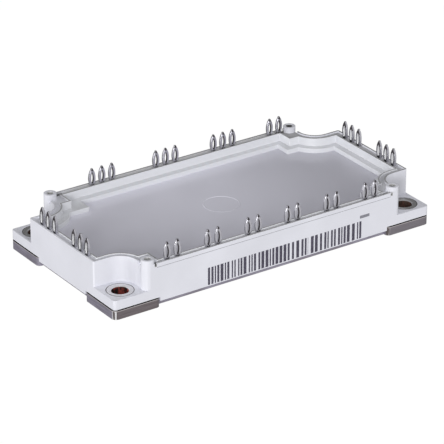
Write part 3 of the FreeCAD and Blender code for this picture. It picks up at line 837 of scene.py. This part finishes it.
def bow_leg(mesh, side, bottom, top, sizes, dark_slot):
    """One leg: a rectangle with broken corners, swept along an arc, with painted reflections on its
    slot and near its tip.
    """
    start = (sizes.shank_width - sizes.leg_width) / 2
    sagitta = (sizes.eye_width - sizes.leg_width) / 2 - start
    half_chord = (top - bottom) / 2
    radius = (half_chord ** 2 + sagitta ** 2) / (2 * sagitta)
    half_angle = math.asin(half_chord / radius)
    section = bmesh.ops.create_grid(mesh, x_segments=1, y_segments=1, size=0.5)["verts"]
    bmesh.ops.scale(mesh, vec=(sizes.leg_width, sizes.thickness, 1.0), verts=section)
    made = bmesh.ops.bevel(mesh, geom=section, affect="VERTICES",
                           offset=LEG_CORNER * sizes.thickness, segments=1, profile=0.5,
                           material=-1)
    faces = {face for vert in made["verts"] for face in vert.link_faces}
    verts = list({vert for face in faces for vert in face.verts})
    edges = list({edge for face in faces for edge in face.edges})
    middle = Vector((side * (start + sagitta - radius), 0, (bottom + top) / 2))
    bmesh.ops.rotate(mesh, cent=(0, 0, 0), matrix=Matrix.Rotation(side * half_angle, 3, "Y"),
                     verts=verts)
    bmesh.ops.translate(mesh, vec=(side * start, 0, bottom), verts=verts)
    before = set(mesh.faces)
    bmesh.ops.spin(mesh, geom=verts + list(faces) + edges, cent=middle, axis=(0, 1, 0),
                   angle=-side * 2 * half_angle, steps=LEG_STEPS)
    mesh.normal_update()
    for face in set(mesh.faces) - before:
        outwards = face.calc_center_median() - middle
        outwards.y = 0
        inner_side = outwards.length < radius - sizes.leg_width / 4
        on_slot = len(face.verts) == 4 and side * outwards.x > 0 and inner_side
        # Painted dark reflections on the slot of the long sides' pins and near the tip of the end
        # pins; the end pins' slot takes the painted highlight
        if dark_slot:
            dark = on_slot and outwards.z > DARK_START * half_chord
        else:
            near_tip = outwards.z > half_chord - sizes.tip_length
            dark = near_tip and abs(face.normal.y) > LOOKS_THROUGH
        if dark:
            face.material_index = DARK_REFLECTION_INDEX
        elif on_slot and not dark_slot:
            face.material_index = SLOT_HIGHLIGHT_INDEX


def place_pin(mesh, box, sizes, turn):
    """Turns a pin made at the origin and moves its shank to the outer side of its node's box."""
    low, high = map(Vector, box)
    inward = Vector((-math.sin(turn), math.cos(turn), 0))
    half_depth = abs((high - low).dot(inward)) / 2
    place = (low + high) / 2 - inward * (half_depth - sizes.thickness / 2)
    place.z = 0
    bmesh.ops.rotate(mesh, cent=(0, 0, 0), matrix=Matrix.Rotation(turn, 3, "Z"),
                     verts=mesh.verts[:])
    bmesh.ops.translate(mesh, vec=place, verts=mesh.verts[:])


BUSH_STEPS = 64
# The bushes' second and third material index
BORE = 1
GAP = 2


class MODULE_OT_turn_bushes(bpy.types.Operator):
    """Turn the four mounting bushes with bevelled mouths and a bore with painted red highlights"""
    bl_idname = "module.turn_bushes"
    bl_label = "Turn bushes"

    def execute(self, context):
        sizes = settings("module_fitting")
        low, high = BUSH_BOX
        outer = sizes.bush_width / 2
        profile = bush_profile(sizes, low[2], high[2])
        mesh = bmesh.new()
        for x in (low[0] + outer, high[0] - outer):
            for y in (low[1] + outer, high[1] - outer):
                revolve(mesh, profile, (x, y), BUSH_STEPS)
        mark_bushes(mesh, sizes, high)
        materials = [bright_steel(), bore_with_highlights(), dark_gap()]
        piece = piece_from(mesh, "turned_bushes", materials, TURNED_TURN)
        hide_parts("mounting_bushes")
        return {"FINISHED"}


def bush_profile(sizes, bottom, top):
    """Radius and height of a bush's corners, with a fine groove round its upper end."""
    inner = sizes.bush_bore / 2
    outer = sizes.bush_width / 2
    bevel = sizes.bush_bevel
    groove = sizes.bush_groove
    return [
        (inner, bottom + bevel), (inner + bevel, bottom), (outer, bottom), (outer, top),
        (outer - groove / 2, top), (outer - groove, top - groove / 2),
        (outer - 1.5 * groove, top), (inner + bevel, top), (inner, top - bevel),
    ]


def mark_bushes(mesh, sizes, high):
    """Gives the bushes' bores and grooves their own materials."""
    inner = sizes.bush_bore / 2
    outer = sizes.bush_width / 2
    groove = sizes.bush_groove
    mesh.normal_update()
    for face in mesh.faces:
        centre = face.calc_center_median()
        from_axis = math.hypot(abs(centre.x) - (high[0] - outer), abs(centre.y) - (high[1] - outer))
        in_groove = outer - 1.5 * groove < from_axis < outer - 0.5 * groove
        if from_axis < inner + sizes.bush_bevel / 4:
            face.material_index = BORE
        elif in_groove and centre.z < high[2] - groove / 8:
            face.material_index = GAP


class MODULE_OT_finish_inside(bpy.types.Operator):
    """Give the substrates, the chips, the loops and the bead their finishes"""
    bl_idname = "module.finish_inside"
    bl_label = "Finish inside"

    def execute(self, context):
        copper = inner_metal("etched_copper", colour=(0.75, 0.40, 0.26), roughness=0.42)
        solder = inner_metal("dull_solder", colour=(0.52, 0.52, 0.54), roughness=0.5)
        aluminium = inner_metal("drawn_aluminium", colour=(0.82, 0.82, 0.84), roughness=0.32)
        ceramic = inner_solid("fired_ceramic", colour=(0.84, 0.84, 0.81), roughness=0.55)
        silicon = inner_solid("polished_silicon", colour=(0.13, 0.14, 0.18), roughness=0.25)
        bead = inner_solid("cured_bead", colour=(0.03, 0.03, 0.035), roughness=0.75)
        for place in ("left", "middle", "right"):
            coat([f"base_solder_{place}"], solder)
            coat([f"under_copper_{place}", f"copper_tracks_{place}"], copper)
            coat([f"ceramic_tile_{place}"], ceramic)
        coat(["igbt_chips", "diode_chips", "rectifier_chips"], silicon)
        coat(["thermistor"], ceramic)
        coat(["chip_ribbons", "pin_wires"], aluminium)
        coat(["adhesive_bead"], bead)
        return {"FINISHED"}


RING_CENTRE = (0.5 * MM, 0.8 * MM)
RING_STEPS = 96
# Depths behind a long face between which the shade in its groove lies
SHADE_NEAR = 0.05 * MM
SHADE_FAR = 0.15 * MM


class MODULE_OT_mark_mouldings(bpy.types.Operator):
    """Add the ring mark on the lid's floor and the shade in the grooves of the long faces"""
    bl_idname = "module.mark_mouldings"
    bl_label = "Mark mouldings"

    def execute(self, context):
        sizes = settings("module_fitting")
        half = sizes.mark_line / 2
        radius = sizes.mark_width / 2
        floor = sizes.lid_floor
        profile = [(radius - half, floor - half), (radius + half, floor - half),
                   (radius + half, floor), (radius, floor + half / 2), (radius - half, floor)]
        ring = bmesh.new()
        revolve(ring, profile, RING_CENTRE, RING_STEPS)
        piece_from(ring, "lid_ring_mark", [ring_mark()], TURNED_TURN)
        reach = sizes.groove_reach
        top = sizes.groove_top
        bottom = top - sizes.groove_height
        shade = bmesh.new()
        for near, far in ((FRONT_FACE + SHADE_NEAR, FRONT_FACE + SHADE_FAR),
                          (BACK_FACE - SHADE_FAR, BACK_FACE - SHADE_NEAR)):
            add_block(shade, (-reach, near, bottom), (reach, far, top))
        piece_from(shade, "groove_shades", [groove_shade()])
        return {"FINISHED"}


# X of the ends of the two blocks of bars, and the choices of width and gap in millimetres
BAR_BLOCKS = ((-26.2 * MM, 12.3 * MM), (13.4 * MM, 33.8 * MM))
BAR_WIDTHS = (0.5, 0.7, 0.8, 0.8, 1.1)
BAR_GAPS = (0.45, 0.5, 0.5, 0.9)
# X and height of the dash's ends
DASH_SPAN = (32.8 * MM, 36.6 * MM)
DASH_HEIGHTS = (9.3 * MM, 10.3 * MM)
# The print's second material index, and how much paler either ink is where it's worn
FADED = 1
INK_WORN = 3.0
FADED_WORN = 1.7


class MODULE_OT_print_bars(bpy.types.Operator):
    """Print two blocks of bars and a short dash on the front face"""
    bl_idname = "module.print_bars"
    bl_label = "Print bars"

    def execute(self, context):
        sizes = settings("module_print")
        finish = settings("module_finish")
        chance = random.Random(sizes.seed)
        mesh = bmesh.new()
        for start, end in BAR_BLOCKS:
            x = start
            while x < end:
                width = chance.choice(BAR_WIDTHS) * MM
                gap = chance.choice(BAR_GAPS) * MM
                right = min(x + width, end)
                print_block(mesh, (x, right), (sizes.bar_bottom, sizes.bar_top), sizes)
                x = right + gap
        dash = print_block(mesh, DASH_SPAN, DASH_HEIGHTS, sizes)
        for face in {face for vert in dash for face in vert.link_faces}:
            face.material_index = FADED
        inks = [printed_ink("printed_ink", finish.ink_colour, INK_WORN),
                printed_ink("faded_ink", finish.faded_colour, FADED_WORN)]
        piece_from(mesh, "printed_bars", inks)
        return {"FINISHED"}


def print_block(mesh, span, heights, sizes):
    """A block of ink on the front face, between two places along X and two heights."""
    return add_block(mesh, (span[0], FRONT_FACE - sizes.ink_thickness, heights[0]),
                     (span[1], FRONT_FACE, heights[1]))


# Place and width of each softbox
KEY_BOX = ((-0.82, -0.82, 0.30), 0.35)
LEFT_BOX = ((-1.07, 0.50, 0.15), 0.35)
TOP_BOX = ((0.0, 0.1, 0.9), 0.8)
# Distance from the middle of the floor to its sides
FLOOR_REACH = 4.0
# How far a direction looks back or forth where the light from all round stops changing
AIR_TURN = 0.7
# How far the camera stands to the right of the line through the origin, and above it
CAMERA_SHIFT = (0.114 * MM, 4.32 * MM)


class MODULE_OT_set_stage(bpy.types.Operator):
    """Lay the floor, hang the softboxes and stand the camera"""
    bl_idname = "module.set_stage"
    bl_label = "Set stage"

    def execute(self, context):
        studio = settings("module_studio")
        lay_floor(studio)
        light_world(studio)
        hang_softbox("key_softbox", *KEY_BOX, studio.key_light)
        hang_softbox("left_softbox", *LEFT_BOX, studio.left_light)
        hang_softbox("top_softbox", *TOP_BOX, studio.top_light)
        stand_camera(studio)
        bpy.context.scene.view_settings.view_transform = "Standard"
        return {"FINISHED"}


def lay_floor(studio):
    """A wide pale floor, clear from below, and low enough to share no plane with the plate."""
    mesh = bmesh.new()
    bmesh.ops.create_grid(mesh, x_segments=1, y_segments=1, size=FLOOR_REACH,
                          matrix=Matrix.Translation((0, 0, -studio.floor_gap)))
    data = bpy.data.meshes.new("floor")
    mesh.to_mesh(data)
    mesh.free()
    r = Recipe("pale_floor")
    from_below = r.add("ShaderNodeNewGeometry").outputs["Backfacing"]
    r.surface(Base_Color=(0.02, 0.02, 0.02, 1.0), Roughness=0.9, Specular_IOR_Level=0.0,
              Emission_Color=(1.0, 1.0, 1.0, 1.0), Emission_Strength=1.0,
              Alpha=r.ramp(from_below, 1.0, 0.0))
    data.materials.append(r.material)
    floor = bpy.data.objects.new("floor", data)
    bpy.context.scene.collection.objects.link(floor)
    floor.visible_diffuse = False
    floor.visible_glossy = False


def light_world(studio):
    """Even light from all round, brighter from the front than from the back."""
    world = bpy.data.worlds.new("studio_air")
    world.use_nodes = True
    nodes = world.node_tree.nodes
    links = world.node_tree.links
    background = nodes["Background"].inputs
    background["Color"].default_value = (1.0, 1.0, 1.0, 1.0)
    direction = nodes.new("ShaderNodeTexCoord")
    split = nodes.new("ShaderNodeSeparateXYZ")
    strength = nodes.new("ShaderNodeMapRange")
    links.new(direction.outputs["Generated"], split.inputs["Vector"])
    links.new(split.outputs["Y"], strength.inputs["Value"])
    links.new(strength.outputs["Result"], background["Strength"])
    strength.inputs["From Min"].default_value = -AIR_TURN
    strength.inputs["From Max"].default_value = AIR_TURN
    strength.inputs["To Min"].default_value = studio.front_air
    strength.inputs["To Max"].default_value = studio.back_air
    bpy.context.scene.world = world


def hang_softbox(name, place, width, power):
    """A square area light that faces the module."""
    light = bpy.data.lights.new(name, "AREA")
    light.shape = "SQUARE"
    light.size = width
    light.energy = power
    lamp = bpy.data.objects.new(name, light)
    lamp.location = place
    lamp.rotation_euler = (-Vector(place)).to_track_quat("-Z", "Y").to_euler()
    bpy.context.scene.collection.objects.link(lamp)


def stand_camera(studio):
    """The camera at the photograph's angle."""
    data = bpy.data.cameras.new("studio_camera")
    data.lens = studio.lens
    data.sensor_width = 36.0
    data.clip_start = 0.05
    data.clip_end = 20.0
    camera = bpy.data.objects.new("studio_camera", data)
    turn = Matrix.Rotation(studio.azimuth, 4, "Z")
    tilt = Matrix.Rotation(math.pi / 2 - studio.elevation, 4, "X")
    camera.matrix_world = turn @ tilt @ Matrix.Translation((*CAMERA_SHIFT, studio.distance))
    bpy.context.scene.collection.objects.link(camera)
    bpy.context.scene.camera = camera


class MODULE_PT_panel(bpy.types.Panel):
    """The module's operators and settings"""
    bl_label = "Power module"
    bl_idname = "MODULE_PT_panel"
    bl_space_type = "VIEW_3D"
    bl_region_type = "UI"
    bl_category = "Power module"

    def draw(self, context):
        for operator in OPERATORS:
            self.layout.operator(operator.bl_idname)
        for group in map(settings, GROUPS):
            box = self.layout.box()
            for name in group.bl_rna.properties.keys():
                if name not in ("rna_type", "name"):
                    box.prop(group, name)


GROUPS = {
    "module_finish": FinishSettings,
    "module_fitting": FittingSettings,
    "module_print": PrintSettings,
    "module_studio": StudioSettings,
}
OPERATORS = (
    MODULE_OT_finish_plastics,
    MODULE_OT_finish_metals,
    MODULE_OT_form_pins,
    MODULE_OT_turn_bushes,
    MODULE_OT_finish_inside,
    MODULE_OT_mark_mouldings,
    MODULE_OT_print_bars,
    MODULE_OT_set_stage,
)


def register():
    """Registers the settings, the operators and the panel."""
    for name, group in GROUPS.items():
        bpy.utils.register_class(group)
        setattr(bpy.types.Scene, name, bpy.props.PointerProperty(type=group))
    for cls in OPERATORS + (MODULE_PT_panel,):
        bpy.utils.register_class(cls)


def unregister():
    """Takes away what register added."""
    for cls in (MODULE_PT_panel,) + OPERATORS[::-1]:
        bpy.utils.unregister_class(cls)
    for name, group in GROUPS.items():
        delattr(bpy.types.Scene, name)
        bpy.utils.unregister_class(group)


def main():
    """Makes every piece in order."""
    register()
    for operator in OPERATORS:
        group, action = operator.bl_idname.split(".")
        getattr(getattr(bpy.ops, group), action)()


if __name__ == "__main__":
    main()
